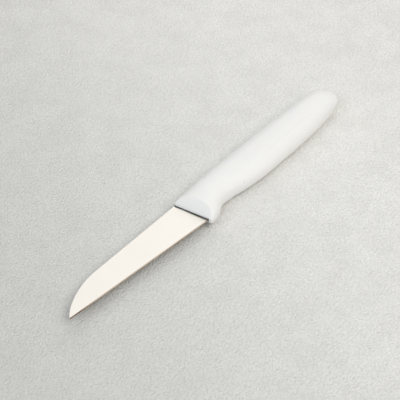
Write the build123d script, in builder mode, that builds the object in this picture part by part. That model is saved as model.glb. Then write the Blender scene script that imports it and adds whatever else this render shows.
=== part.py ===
from build123d import *
import os
from math import asin, cos, radians, sin, tan

# A paring knife lying on its side: a ground steel blade with its tang, and the plastic handle
# that is moulded round the tang. X runs from the tip to the butt, Y from the edge to the spine,
# Z up from the table. Lengths are in millimetres and angles in degrees.

os.makedirs("parts", exist_ok=True)

# Blade, seen from the side
edge_length = 80.0
heel_height = 16.85
tip_drop = 9.9
spine_curve_length = 25.0
tip_angle = 55.0
tip_round = 0.4

# Blade, seen along the edge
blade_thickness = 1.2
ground_height = 13.0
ground_thickness = 0.32
bevel_height = 0.5
edge_thickness = 0.05
ground_run_in = 2.5

# Tang, inside the handle
shoulder_depth = 5.0
tang_length = 74.0
tang_drop = 3.2
tang_height = 8.0
tang_end_height = 6.4
tang_corner = 2.0
tang_hole_diameter = 4.0
tang_hole_pitch = 21.0
tang_hole_count = 3

# Handle, seen from the side: reaches behind the mouth, rises above the line of the blade's
# spine and depths below it
handle_length = 107.2
mouth_lean = 10.4
mouth_rise = 0.95
arch_reach = 38.0
arch_rise = 1.75
butt_length = 15.2
butt_start_rise = 0.2
butt_depth = 9.0
nub_reach = 5.5
nub_depth = 18.6
waist_reach = 18.8
waist_depth = 14.3
belly_front_reach = 31.0
belly_front_depth = 15.95
belly_reach = 60.0
belly_depth = 17.3
belly_end_depth = 15.9
belly_end_slope = 6.0

# Handle, seen from above: half thicknesses
mouth_half_thickness = 5.85
swell_half_thickness = 6.45
butt_half_thickness = 6.38
rest_half_thickness = 6.2

# Where the handle is thickest, as a share of the way from its mouth to where the butt starts
swell_share = 0.826

# How far each end of the spine's curve pulls it straight on, as shares of the curve's length
curve_start_share = 0.36
curve_end_share = 0.26

# How far the ends of the curves round the butt pull them straight on, as shares of its sizes
upper_along_share = 0.72
lower_along_share = 0.66
flank_along_share = 0.62
upper_turn_share = 0.85
lower_turn_share = 0.72
flank_turn_share = 0.6

# How far the ends of the curves of the handle's section pull them, as shares of its half sizes
flank_share = 0.64
crown_share = 0.60

# Nose of the handle, a narrow flat from which its two front faces slope back from the blade
nose_flat = 0.8
nose_slope = 46.0
nose_radius = 1.8
crease_radius = 1.3
relief_width = 0.4
relief_depth = 1.0
relief_end_gap = 0.25

# Stations of the handle's lofts: their number in each stretch, and the turns round the butt
nub_stations = 14
neck_stations = 6
grip_stations = 11
butt_turns = (0, 14, 27, 39, 50, 60, 68, 75, 80)

# How far the uncut handle starts ahead of its mouth, and how far cuts run past the work
lead = 2.0
overrun = 12.0

# The knife's own frame: the mouth's corner at the blade's spine, on the mid plane
edge_slope = asin((heel_height - tip_drop) / edge_length)
heel_x = heel_height * tan(radians(mouth_lean))
tip_x = heel_x - edge_length * cos(edge_slope)
corner = Vector(-(handle_length + tip_x) / 2, (nub_depth - arch_rise) / 2, rest_half_thickness)
side_plane = Plane(origin=corner)
mouth_down = Vector(0, -1, 0).rotate(Axis.Z, mouth_lean)
mouth_back = Vector(1, 0, 0).rotate(Axis.Z, mouth_lean)

# Blade and tang: one plate, with holes in the tang for the plastic to lock into
heel = Vector(heel_x, -heel_height)
tip = Vector(tip_x, -tip_drop)
along_edge = (heel - tip).normalized()
tip_rise = Vector(1, 0).rotate(Axis.Z, tip_angle)
tang_middle = tang_drop + tang_height / 2
tang_outline = [
    heel + along_edge * shoulder_depth,
    (shoulder_depth + tang_middle * tan(radians(mouth_lean)), -tang_drop - tang_height),
    (tang_length, -tang_middle - tang_end_height / 2),
    (tang_length, -tang_middle + tang_end_height / 2),
    (shoulder_depth, -tang_drop),
    (shoulder_depth, 0),
]
grind_plane = Plane(
    origin=side_plane.from_local_coords(heel),
    x_dir=along_edge.rotate(Axis.Z, 90),
    z_dir=along_edge,
)

with BuildPart() as blade:
    with BuildSketch(side_plane):
        with BuildLine():
            FilletPolyline(*tang_outline, radius=tang_corner)
            spine = Line((shoulder_depth, 0), (tip_x + spine_curve_length, 0))
            Bezier(
                spine @ 1,
                (spine @ 1) + (spine % 1) * spine_curve_length * curve_start_share,
                tip + tip_rise * spine_curve_length * curve_end_share,
                tip,
            )
            Line(tip, heel + along_edge * shoulder_depth)
        make_face()
        with Locations(((shoulder_depth + tang_length) / 2, -tang_middle)):
            with GridLocations(tang_hole_pitch, tang_height, tang_hole_count, 1):
                Circle(tang_hole_diameter / 2, mode=Mode.SUBTRACT)
        fillet(vertices().sort_by(Axis.X)[0], radius=tip_round)
    extrude(amount=blade_thickness / 2, both=True)
    with BuildSketch(grind_plane.offset(ground_run_in)):
        with BuildLine():
            Polyline(
                (-overrun, edge_thickness / 2),
                (0, edge_thickness / 2),
                (bevel_height, ground_thickness / 2),
                (ground_height, blade_thickness / 2),
                (ground_height, blade_thickness),
                (-overrun, blade_thickness),
                close=True,
            )
        make_face()
        mirror(about=Plane.XZ)
    extrude(amount=-(ground_run_in + edge_length + overrun), mode=Mode.SUBTRACT)
blade.part.label = "blade"

# Guide curves of the handle, each along the grip and then round to the end of the butt
butt_start = handle_length - butt_length
with BuildLine() as spine_guide:
    crest = ThreePointArc((-lead, mouth_rise), (arch_reach, arch_rise), (butt_start, butt_start_rise))
    upper_turn = (butt_depth + butt_start_rise) * upper_turn_share
    Bezier(
        crest @ 1,
        (crest @ 1) + (crest % 1) * butt_length * upper_along_share,
        (handle_length, -butt_depth + upper_turn),
        (handle_length, -butt_depth),
    )
with BuildLine() as belly_guide:
    Line((-lead, -nub_depth), (nub_reach, -nub_depth))
    neck = Spline((nub_reach, -nub_depth), (waist_reach, -waist_depth), tangents=[(1, 0), (1, 0)])
    belly = Spline(
        neck @ 1,
        (belly_front_reach, -belly_front_depth),
        (belly_reach, -belly_depth),
        (butt_start, -belly_end_depth),
        tangents=[(1, 0), Vector(1, 0).rotate(Axis.Z, belly_end_slope)],
    )
    lower_turn = (belly_end_depth - butt_depth) * lower_turn_share
    Bezier(
        belly @ 1,
        (belly @ 1) + (belly % 1) * butt_length * lower_along_share,
        (handle_length, -butt_depth - lower_turn),
        (handle_length, -butt_depth),
    )
with BuildLine() as flank_guide:
    swell = ThreePointArc(
        (-lead, mouth_half_thickness),
        (butt_start * swell_share, swell_half_thickness),
        (butt_start, butt_half_thickness),
    )
    Bezier(
        swell @ 1,
        (swell @ 1) + (swell % 1) * butt_length * flank_along_share,
        (handle_length, butt_half_thickness * flank_turn_share),
        (handle_length, 0),
    )


def half_section(distance):
    """Half of the handle's section at a distance behind the mouth, between the guide curves."""
    cut = Plane(origin=(distance, 0), z_dir=(1, 0, 0))
    top, bottom, half = (
        guide.line.intersect(cut)[0].Y for guide in (spine_guide, belly_guide, flank_guide)
    )
    middle = (top + bottom) / 2
    reach = (top - bottom) / 2 * flank_share
    crown = half * crown_share
    station = Plane(origin=side_plane.from_local_coords((distance, 0)), x_dir=(0, 1, 0), z_dir=(1, 0, 0))
    with BuildSketch(station) as section:
        with BuildLine():
            Bezier((bottom, 0), (bottom, crown), (middle - reach, half), (middle, half))
            Bezier((middle, half), (middle + reach, half), (top, crown), (top, 0))
            Line((top, 0), (bottom, 0))
        make_face()
    return section.sketch


def spaced(start, end, count):
    """Evenly spaced distances from the start up to, but not including, the end."""
    return [start + (end - start) * step / count for step in range(count)]


distances = [
    *spaced(-lead, waist_reach, nub_stations),
    *spaced(waist_reach, belly_front_reach, neck_stations),
    *spaced(belly_front_reach, butt_start, grip_stations),
    *(butt_start + butt_length * sin(radians(turn)) for turn in butt_turns),
]

# Handle: one moulded piece, made as a half, smooth round its nub and neck and in short straight
# steps along its grip, with its nose, then mirrored and let in round the blade
sections = [half_section(distance) for distance in distances]
smooth_end = nub_stations + neck_stations
with BuildPart() as handle:
    loft(sections=sections[: smooth_end + 1])
    loft(sections=sections[smooth_end:], ruled=True)
    with BuildSketch(Plane(origin=corner, x_dir=mouth_back, z_dir=mouth_down)):
        with BuildLine():
            flat = Line((0, 0), (0, nose_flat / 2))
            nose = JernArc(flat @ 1, flat % 1, nose_radius, nose_slope - 90)
            slope = Line(nose @ 1, (nose @ 1) + (nose % 1) * overrun)
            Polyline(slope @ 1, (-overrun, (slope @ 1).Y), (-overrun, 0), (0, 0))
        make_face()
    extrude(amount=nub_depth + overrun, both=True, mode=Mode.SUBTRACT)
    creases = edges(Select.LAST).filter_by(GeomType.BSPLINE) - edges().group_by(Axis.Z)[0]
    fillet(creases, radius=crease_radius)
    split(bisect_by=side_plane.offset(rest_half_thickness), keep=Keep.BOTTOM)
    mirror(about=side_plane)
    slot_length = heel_height / cos(radians(mouth_lean)) + 2 * relief_end_gap
    with BuildSketch(Plane(origin=corner, x_dir=mouth_down, z_dir=mouth_back).offset(relief_depth)):
        with Locations((slot_length / 2 - relief_end_gap, 0)):
            Rectangle(slot_length, blade_thickness + 2 * relief_width)
    extrude(amount=-overrun, mode=Mode.SUBTRACT)
    add(blade.part, mode=Mode.SUBTRACT)
handle.part.label = "handle"

for piece in (blade, handle):
    export_step(piece.part, f"parts/{piece.part.label}.step")
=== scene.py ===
import bmesh
import bpy
from math import cos, pi, radians, sin, tan
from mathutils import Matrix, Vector


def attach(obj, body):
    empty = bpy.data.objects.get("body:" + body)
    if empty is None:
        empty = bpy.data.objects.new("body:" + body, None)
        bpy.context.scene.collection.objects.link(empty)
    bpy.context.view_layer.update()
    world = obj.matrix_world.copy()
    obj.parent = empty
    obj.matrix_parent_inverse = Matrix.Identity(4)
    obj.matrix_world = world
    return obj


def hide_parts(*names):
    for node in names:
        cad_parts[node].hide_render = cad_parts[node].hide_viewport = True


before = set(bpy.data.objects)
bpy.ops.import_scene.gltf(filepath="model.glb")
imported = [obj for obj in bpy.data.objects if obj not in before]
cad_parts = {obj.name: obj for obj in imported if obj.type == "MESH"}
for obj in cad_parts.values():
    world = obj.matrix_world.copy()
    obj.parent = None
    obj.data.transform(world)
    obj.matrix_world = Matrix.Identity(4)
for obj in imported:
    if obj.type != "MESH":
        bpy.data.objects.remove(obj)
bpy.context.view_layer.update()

# A white-handled paring knife lying on its side on a pale table. Metres, in the model's own frame:
# X from the tip to the butt, Y from the cutting edge to the spine, Z up from the table.
MM = 0.001

# Where the plastic stops at the steel, seen from the side: the mouth of the handle, from its top
# at the blade's spine down to the heel
heel_height = 16.85
mouth_top = Vector((-15.2975, 8.425, 6.2)) * MM
mouth_lean = radians(10.4)
mouth_back = Vector((cos(mouth_lean), sin(mouth_lean), 0))
mouth_down = Vector((sin(mouth_lean), -cos(mouth_lean), 0))
mouth_depth = heel_height / cos(mouth_lean) * MM

# The cutting edge, which sinks towards the heel, and the direction straight up the blade from it
edge_heel = mouth_top + Vector((heel_height * tan(mouth_lean), -heel_height, 0)) * MM
edge_length = 80.0
edge_fall = 6.95
edge_rise = edge_fall / edge_length
edge_along = Vector((cos(edge_rise), -sin(edge_rise), 0))
edge_up = Vector((sin(edge_rise), cos(edge_rise), 0))
ground_height = 13.0 * MM
bevel_height = 0.5 * MM
steel_dark, steel_light = (0.528, 0.510, 0.479), (0.560, 0.541, 0.510)
steel_cloud = (0.522, 0.502, 0.468)
steel_spot = (0.42, 0.36, 0.28)
# The bevel's colour is a painted dark reflection, warm brown at the heel and near-black at the tip; its
# dullness is real roughness
bevel_heel_painted_reflection, bevel_tip_painted_reflection = (0.32, 0.26, 0.20), (0.12, 0.07, 0.04)

# The plastic, with a faint darker line along each flank
flank_line_start = Vector((30.0, -4.05, 0)) * MM
flank_line_across = Vector((-0.0155, 0.9999, 0))
flank_line_length = 42 * MM
flank_line_fade = 10 * MM
flank_line_half_width = 0.7 * MM
flank_line_colour = (0.62, 0.60, 0.56)
plastic_dark, plastic_light = (0.887, 0.877, 0.859), (0.912, 0.902, 0.885)
plastic_translucence = 0.5
plastic_light_reach = (2.4 * MM, 2.3 * MM, 2.1 * MM)
parting_line_colour = (0.55, 0.54, 0.50)
resin_speck = (0.28, 0.22, 0.17)
# Painted shade where the plastic meets the blade: a grey-blue haze above the gap, and a near-black
# painted shadow over the gap itself
painted_mouth_shade_colour, painted_gap_shadow_colour = (0.36, 0.39, 0.42), (0.05, 0.058, 0.066)

# Camera, table, sky and lamps
camera_place = Vector((-335.04, -272.71, 421.64)) * MM
camera_aim = Vector((0.44, 6.75, 0.0)) * MM
camera_lens = 121.5
camera_sensor = 36.0
table_width = 6.0
table_colour = (0.93, 0.918, 0.887)
# Painted light falloff on the table: its colour darkens towards one side and lightens towards the other
table_painted_falloff = Vector((0.93, -0.36, 0))
table_painted_shade_level, table_painted_light_level = 0.75, 1.03
table_grain, table_mottle, table_speck = (0.40, 0.39, 0.36), (0.42, 0.41, 0.38), (0.33, 0.28, 0.22)
sky_colour, sky_strength = (1.0, 0.98, 0.95), 0.21
backdrop_colour, backdrop_strength = (0.97, 0.965, 0.95), 1.0
lamp_aim = (-0.02, 0, 0)
warm_white = (1.0, 0.985, 0.96)
cool_white = (0.80, 0.91, 1.0)


def node(tree, kind, **settings):
    """A shader node with its properties set by name."""
    made = tree.nodes.new("ShaderNode" + kind)
    for name, value in settings.items():
        setattr(made, name, value)
    return made


class Finish:
    """One material being put together: its tree, its shader and the arithmetic between them."""

    def __init__(self, name):
        self.material = bpy.data.materials.new(name)
        self.material.use_nodes = True
        self.tree = self.material.node_tree
        self.shader = self.tree.nodes["Principled BSDF"]
        self.place = node(self.tree, "TexCoord").outputs["Object"]

    def link(self, source, target):
        self.tree.links.new(source, target)

    def feed(self, made, index, value):
        if isinstance(value, bpy.types.NodeSocket):
            self.link(value, made.inputs[index])
        else:
            made.inputs[index].default_value = value

    def math(self, operation, first, second=0.0, third=0.0):
        made = node(self.tree, "Math", operation=operation)
        for index, value in enumerate((first, second, third)):
            self.feed(made, index, value)
        return made.outputs[0]

    def along(self, direction, origin):
        """Distance of the point from an origin along a direction, in metres."""
        offset = node(self.tree, "VectorMath", operation="SUBTRACT")
        self.link(self.place, offset.inputs[0])
        offset.inputs[1].default_value = origin
        dot = node(self.tree, "VectorMath", operation="DOT_PRODUCT")
        self.link(offset.outputs[0], dot.inputs[0])
        dot.inputs[1].default_value = direction
        return dot.outputs["Value"]

    def ramp(self, value, low, high, to_low=0.0, to_high=1.0, smooth=True):
        made = node(self.tree, "MapRange", interpolation_type="SMOOTHSTEP" if smooth else "LINEAR")
        for index, item in enumerate((value, low, high, to_low, to_high)):
            self.feed(made, index, item)
        return made.outputs[0]

    def scaled(self, size, turn=0.0):
        """The point's place, turned about Z, and divided by a size in metres for each axis."""
        made = node(self.tree, "Mapping", vector_type="TEXTURE")
        self.link(self.place, made.inputs["Vector"])
        made.inputs["Rotation"].default_value = (0, 0, turn)
        made.inputs["Scale"].default_value = size
        return made.outputs[0]

    def noise(self, place, detail=2.0, roughness=0.5, seed=0.0):
        made = node(self.tree, "TexNoise", noise_dimensions="4D")
        self.link(place, made.inputs["Vector"])
        made.inputs["W"].default_value = seed
        made.inputs["Scale"].default_value = 1.0
        made.inputs["Detail"].default_value = detail
        made.inputs["Roughness"].default_value = roughness
        return made.outputs["Fac"]

    def cells(self, place):
        """Distance to the nearest scattered point, and a random number for it."""
        made = node(self.tree, "TexVoronoi", feature="F1")
        self.link(place, made.inputs["Vector"])
        made.inputs["Scale"].default_value = 1.0
        pick = node(self.tree, "SeparateColor")
        self.link(made.outputs["Color"], pick.inputs[0])
        return made.outputs["Distance"], pick.outputs[0]

    def blend(self, share, first, second):
        made = node(self.tree, "Mix", data_type="RGBA")
        for index, value in ((0, share), (6, first), (7, second)):
            if not isinstance(value, bpy.types.NodeSocket) and index:
                value = (*value, 1.0)
            self.feed(made, index, value)
        return made.outputs[2]

    def bump(self, height, distance, strength=1.0, under=None):
        made = node(self.tree, "Bump")
        made.inputs["Strength"].default_value = strength
        made.inputs["Distance"].default_value = distance
        self.link(height, made.inputs["Height"])
        if under is not None:
            self.link(under, made.inputs["Normal"])
        return made.outputs[0]

    def set(self, **values):
        for name, value in values.items():
            self.feed(self.shader, name.replace("_", " "), value)


def ground_steel():
    """Blade steel: fine grinding marks straight up from the edge, a plain strip under the spine,
    a few faint spots, and the narrow bevel at the edge, duller, with a warm painted dark reflection that
    is darkest at the tip."""
    steel = Finish("ground_steel")
    turn = -edge_rise
    height = steel.along(edge_up, edge_heel)
    fine = steel.noise(steel.scaled((0.18 * MM, 14 * MM, 6 * MM), turn), detail=3.0)
    broad = steel.noise(steel.scaled((1.6 * MM, 40 * MM, 20 * MM), turn), detail=2.0, seed=3.0)
    cloud = steel.noise(steel.scaled((9 * MM, 9 * MM, 9 * MM)), detail=4.0, seed=7.0)
    ground = steel.ramp(height, ground_height + 0.1 * MM, ground_height - 0.1 * MM)
    edge = steel.ramp(height, bevel_height + 0.06 * MM, bevel_height - 0.06 * MM)
    colour = steel.blend(fine, steel_dark, steel_light)
    colour = steel.blend(steel.ramp(cloud, 0.35, 0.75, 0.0, 0.35), colour, steel_cloud)
    spot, chance = steel.cells(steel.scaled((5 * MM, 5 * MM, 5 * MM)))
    near = steel.ramp(spot, 0.085, 0.04)
    picked = steel.math("GREATER_THAN", chance, 0.86)
    spotted = steel.math("MULTIPLY", near, picked)
    colour = steel.blend(steel.math("MULTIPLY", spotted, 0.5), colour, steel_spot)
    # Painted dark reflection on the bevel, darkest towards the tip
    toward_tip = steel.ramp(steel.along(edge_along, edge_heel), -64 * MM, -76 * MM)
    bevel_painted_reflection = steel.blend(toward_tip, bevel_heel_painted_reflection, bevel_tip_painted_reflection)
    colour = steel.blend(edge, colour, bevel_painted_reflection)
    rough = steel.math("MULTIPLY_ADD", fine, 0.10, 0.22)
    rough = steel.math("MULTIPLY_ADD", broad, 0.06, rough)
    rough = steel.math("MULTIPLY_ADD", ground, 0.04, rough)
    rough = steel.math("MULTIPLY_ADD", edge, 0.15, rough)
    normal = steel.bump(fine, 0.004 * MM, 0.6)
    normal = steel.bump(broad, 0.02 * MM, 0.4, normal)
    steel.set(Base_Color=colour, Metallic=1.0, Roughness=rough, Normal=normal)
    return steel.material


def moulded_plastic():
    """Handle plastic: white, satin, slightly translucent, with a fine skin, a faint darker line along
    each flank, the mould's parting line round the middle, a few brown specks in the resin, and painted
    shade
    where it stops at the blade: a near-black painted shadow over the gap and a grey-blue painted haze
    above it."""
    plastic = Finish("white_moulded_plastic")
    across = plastic.math("ABSOLUTE", plastic.along((0, 0, 1), mouth_top))
    behind = plastic.along(mouth_back, mouth_top)
    below = plastic.along(mouth_down, mouth_top)
    skin = plastic.noise(plastic.scaled((0.45 * MM, 0.45 * MM, 0.45 * MM)), detail=3.0)
    waves = plastic.noise(plastic.scaled((14 * MM, 5 * MM, 5 * MM)), detail=2.0, seed=2.0)
    flow = plastic.noise(plastic.scaled((45 * MM, 6 * MM, 8 * MM)), detail=3.0, seed=5.0)
    colour = plastic.blend(flow, plastic_dark, plastic_light)
    flank_line = plastic.math("ABSOLUTE", plastic.along(flank_line_across, flank_line_start))
    flank_line_run = plastic.along((1, 0, 0), flank_line_start)
    flank_line_share = plastic.ramp(flank_line, flank_line_half_width, 0.0, 0.0, 0.10)
    for end, full in ((0.0, flank_line_fade), (flank_line_length, flank_line_length - flank_line_fade)):
        flank_line_share = plastic.math("MULTIPLY", flank_line_share, plastic.ramp(flank_line_run, end, full))
    colour = plastic.blend(flank_line_share, colour, flank_line_colour)
    parting = plastic.ramp(across, 0.10 * MM, 0.03 * MM)
    colour = plastic.blend(plastic.math("MULTIPLY", parting, 0.12), colour, parting_line_colour)
    spot, chance = plastic.cells(plastic.scaled((5 * MM, 5 * MM, 5 * MM)))
    speck = plastic.math("MULTIPLY", plastic.ramp(spot, 0.085, 0.04),
                         plastic.math("GREATER_THAN", chance, 0.78))
    colour = plastic.blend(plastic.math("MULTIPLY", speck, 0.7), colour, resin_speck)
    # Painted shade at the mouth: a soft grey-blue shade on the face just above the gap, and a near-black
    # painted shadow over the gap where the plastic stops at the blade
    lip = plastic.ramp(below, 0.0, mouth_depth, 1.12 * MM, 0.95 * MM, smooth=False)
    above = plastic.math("SUBTRACT", across, lip)
    mouth = plastic.ramp(behind, 1.2 * MM, 1.1 * MM)
    for reach in (plastic.ramp(below, -0.3 * MM, -0.2 * MM),
                  plastic.ramp(below, mouth_depth + 0.3 * MM, mouth_depth + 0.2 * MM)):
        mouth = plastic.math("MULTIPLY", mouth, reach)
    painted_mouth_shade = plastic.math("MULTIPLY", mouth, plastic.ramp(above, 1.0 * MM, 0.0, 0.0, 0.35))
    painted_gap_shadow = plastic.math("MULTIPLY", mouth, plastic.ramp(above, 0.04 * MM, -0.04 * MM))
    colour = plastic.blend(painted_mouth_shade, colour, painted_mouth_shade_colour)
    colour = plastic.blend(painted_gap_shadow, colour, painted_gap_shadow_colour)
    rough = plastic.math("MULTIPLY_ADD", skin, 0.08, 0.34)
    rough = plastic.math("MULTIPLY_ADD", flow, 0.08, rough)
    normal = plastic.bump(skin, 0.006 * MM, 0.5)
    normal = plastic.bump(waves, 0.25 * MM, 0.25, normal)
    normal = plastic.bump(parting, 0.02 * MM, 0.5, normal)
    plastic.set(Base_Color=colour, Roughness=rough, Normal=normal)
    plastic.set(Subsurface_Weight=plastic_translucence, Subsurface_Scale=1.0, Specular_IOR_Level=0.5)
    plastic.shader.inputs["Subsurface Radius"].default_value = plastic_light_reach
    return plastic.material


def table_finish():
    """Pale matt table top: a fine rough grain with its own relief, a broader mottle, faint specks,
    and painted light falloff, its colour darker towards one side and lighter towards the other."""
    table = Finish("pale_table")
    grain = table.noise(table.scaled((1.1 * MM, 1.1 * MM, 1.1 * MM)), detail=4.0, roughness=0.65)
    mottle = table.noise(table.scaled((16 * MM, 16 * MM, 16 * MM)), detail=6.0, roughness=0.72, seed=4.0)
    # Painted light falloff across the table
    painted_falloff = table.ramp(table.along(table_painted_falloff, (0, 0, 0)), -0.15, 0.10)
    colour = table.blend(painted_falloff, [part * table_painted_shade_level for part in table_colour],
                         [part * table_painted_light_level for part in table_colour])
    colour = table.blend(table.ramp(grain, 0.35, 0.65, 0.0, 0.20), colour, table_grain)
    colour = table.blend(table.ramp(mottle, 0.40, 0.62, 0.0, 0.10), colour, table_mottle)
    spot, chance = table.cells(table.scaled((3.2 * MM, 3.2 * MM, 3.2 * MM)))
    speck = table.math("MULTIPLY", table.ramp(spot, 0.14, 0.05), table.math("GREATER_THAN", chance, 0.72))
    colour = table.blend(table.math("MULTIPLY", speck, 0.22), colour, table_speck)
    relief = table.noise(table.scaled((1.0 * MM, 1.0 * MM, 1.0 * MM)), detail=1.0, seed=9.0)
    normal = table.bump(relief, 0.9 * MM, 1.0)
    table.set(Base_Color=colour, Roughness=0.85, Specular_IOR_Level=0.3, Normal=normal)
    return table.material


def smooth_copy(source, name, corner=radians(32)):
    """A merged copy of a CAD node, smooth but for its real corners."""
    mesh = source.data.copy()
    mesh.name = name
    shell = bmesh.new()
    shell.from_mesh(mesh)
    bmesh.ops.remove_doubles(shell, verts=shell.verts, dist=0.002 * MM)
    bmesh.ops.dissolve_degenerate(shell, edges=shell.edges, dist=0.001 * MM)
    for face in shell.faces:
        face.smooth = True
    for side in shell.edges:
        side.smooth = len(side.link_faces) == 2 and side.calc_face_angle(0.0) < corner
    shell.to_mesh(mesh)
    shell.free()
    if "custom_normal" in mesh.attributes:
        mesh.attributes.remove(mesh.attributes["custom_normal"])
    piece = bpy.data.objects.new(name, mesh)
    bpy.context.scene.collection.objects.link(piece)
    return piece


def finished(piece, material):
    """The piece wears one material only."""
    piece.data.materials.clear()
    piece.data.materials.append(material)
    return piece


def place_lamp(name, at, size, radiance, colour):
    """A soft box of a given brightness, turned to face the knife."""
    lamp = bpy.data.lights.new(name, "AREA")
    lamp.size = size
    lamp.energy = radiance * pi * size ** 2
    lamp.color = colour
    holder = bpy.data.objects.new(name, lamp)
    holder.location = at
    holder.rotation_euler = (Vector(lamp_aim) - Vector(at)).to_track_quat("-Z", "Y").to_euler()
    bpy.context.scene.collection.objects.link(holder)


def light_room():
    """The sky that lights the knife, and the pale room that its steel and the camera see."""
    world = bpy.data.worlds.new("studio")
    bpy.context.scene.world = world
    world.use_nodes = True
    tree = world.node_tree
    tree.nodes.clear()
    path = node(tree, "LightPath")
    seen = node(tree, "Math", operation="MAXIMUM")
    tree.links.new(path.outputs["Is Camera Ray"], seen.inputs[0])
    tree.links.new(path.outputs["Is Glossy Ray"], seen.inputs[1])
    sky = node(tree, "Background")
    sky.inputs["Color"].default_value = (*sky_colour, 1)
    sky.inputs["Strength"].default_value = sky_strength
    room = node(tree, "Background")
    room.inputs["Color"].default_value = (*backdrop_colour, 1)
    room.inputs["Strength"].default_value = backdrop_strength
    mix = node(tree, "MixShader")
    tree.links.new(seen.outputs[0], mix.inputs[0])
    tree.links.new(sky.outputs[0], mix.inputs[1])
    tree.links.new(room.outputs[0], mix.inputs[2])
    out = node(tree, "OutputWorld")
    tree.links.new(mix.outputs[0], out.inputs["Surface"])


# The knife
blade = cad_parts["blade"]
for entry in blade.material_slots:
    entry.material = ground_steel()
handle = finished(smooth_copy(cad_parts["handle"], "handle_shell"), moulded_plastic())
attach(handle, "root")
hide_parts("handle")

# The table
bpy.ops.mesh.primitive_plane_add(size=table_width)
table = finished(bpy.context.object, table_finish())
table.name = "table"

# Light: the main soft box high in front of the cutting edge, a cool one over the tip, one behind
# that the blade reflects, and weaker ones low in front, above and beyond the butt
light_room()
place_lamp("box_behind", (0.45, 0.42, 0.63), 0.80, 0.80, warm_white)
place_lamp("box_above", (0.0, 0.0, 0.85), 0.60, 0.35, warm_white)
place_lamp("box_beyond_butt", (0.62, 0.10, 0.60), 0.60, 0.25, warm_white)
place_lamp("box_before_edge", (0.0, -0.90, 1.33), 0.90, 4.50, warm_white)
place_lamp("box_low_before_edge", (0.10, -1.40, 0.30), 0.90, 0.95, warm_white)
place_lamp("box_over_tip", (-0.94, 0.0, 1.02), 0.90, 2.20, cool_white)

# Camera, fitted to the photograph's outline to within about half a pixel
lens = bpy.data.cameras.new("camera")
lens.lens, lens.sensor_width = camera_lens, camera_sensor
camera = bpy.data.objects.new("camera", lens)
camera.location = camera_place
camera.rotation_euler = (camera_aim - camera_place).to_track_quat("-Z", "Y").to_euler()
bpy.context.scene.collection.objects.link(camera)
bpy.context.scene.camera = camera
bpy.context.scene.view_settings.view_transform = "Standard"
